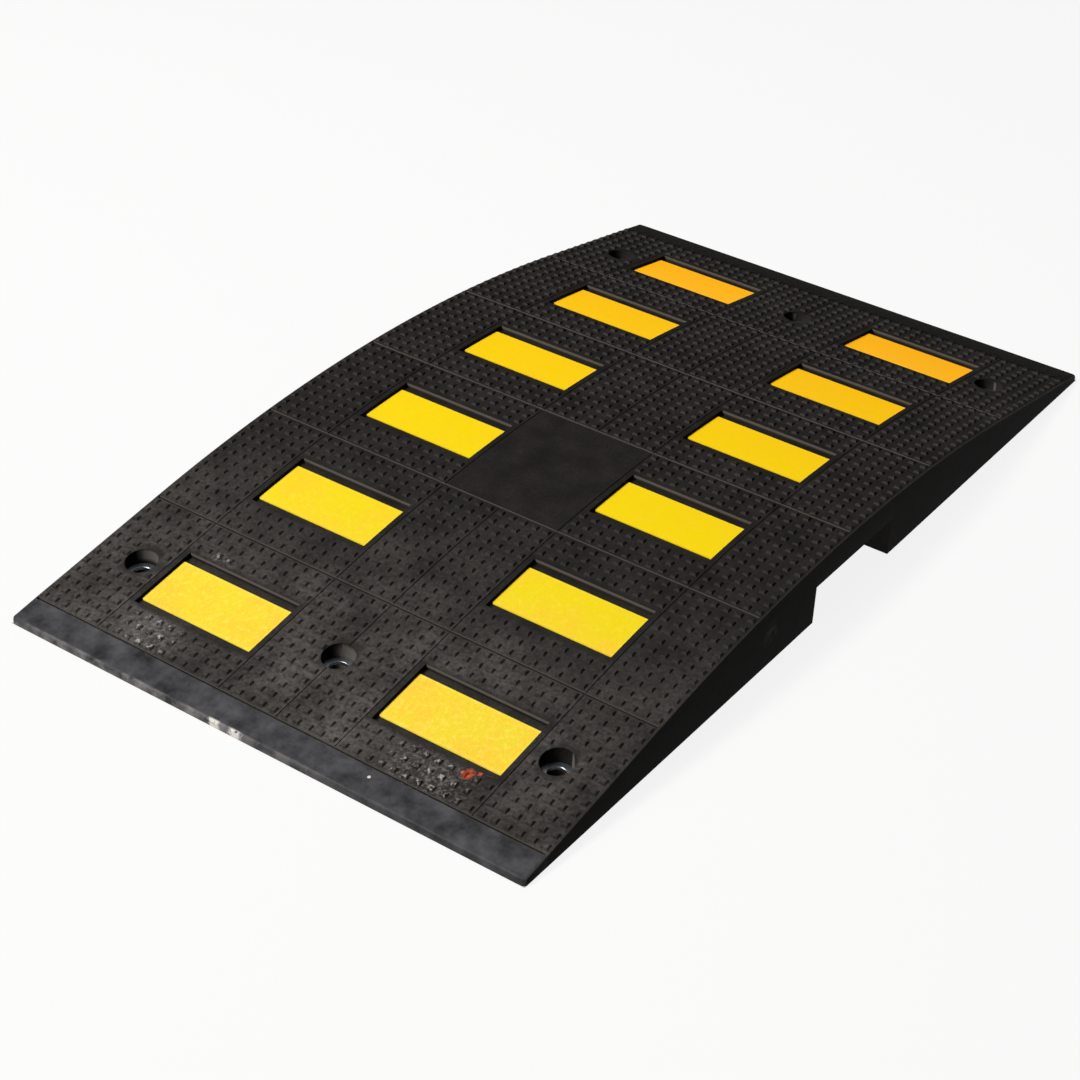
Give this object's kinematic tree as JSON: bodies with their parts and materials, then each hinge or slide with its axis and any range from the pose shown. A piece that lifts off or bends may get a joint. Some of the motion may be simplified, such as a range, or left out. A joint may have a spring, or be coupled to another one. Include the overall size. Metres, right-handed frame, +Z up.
{
  "type": "rubber speed bump",
  "caption": "Black rubber speed bump module with studded ramps, a round crown, yellow reflective strips in pockets, counterbored bolt holes with steel washers and a channel under it.",
  "frame": {"origin": "on the road, under the middle of the module", "axes": "+X across the lane, +Y along the traffic from the near end to the far end, +Z up"},
  "size_m": [0.5, 0.9, 0.0618],
  "materials": {
    "black_rubber": "moulded, matt, scuffed grey on its high spots",
    "yellow_reflective_film": "retroreflective sheeting, satin",
    "zinc_plated_steel": "bright zinc, dulled"
  },
  "bodies": {
    "root": {"rubber_body": "black_rubber", "strip_left_1": "yellow_reflective_film", "strip_left_2": "yellow_reflective_film", "strip_left_3": "yellow_reflective_film", "strip_left_4": "yellow_reflective_film", "strip_left_5": "yellow_reflective_film", "strip_left_6": "yellow_reflective_film", "strip_right_1": "yellow_reflective_film", "strip_right_2": "yellow_reflective_film", "strip_right_3": "yellow_reflective_film", "strip_right_4": "yellow_reflective_film", "strip_right_5": "yellow_reflective_film", "strip_right_6": "yellow_reflective_film", "washer_near_left": "zinc_plated_steel", "washer_near_centre": "zinc_plated_steel", "washer_near_right": "zinc_plated_steel", "washer_far_left": "zinc_plated_steel", "washer_far_centre": "zinc_plated_steel", "washer_far_right": "zinc_plated_steel"}
  },
  "joints": []
}
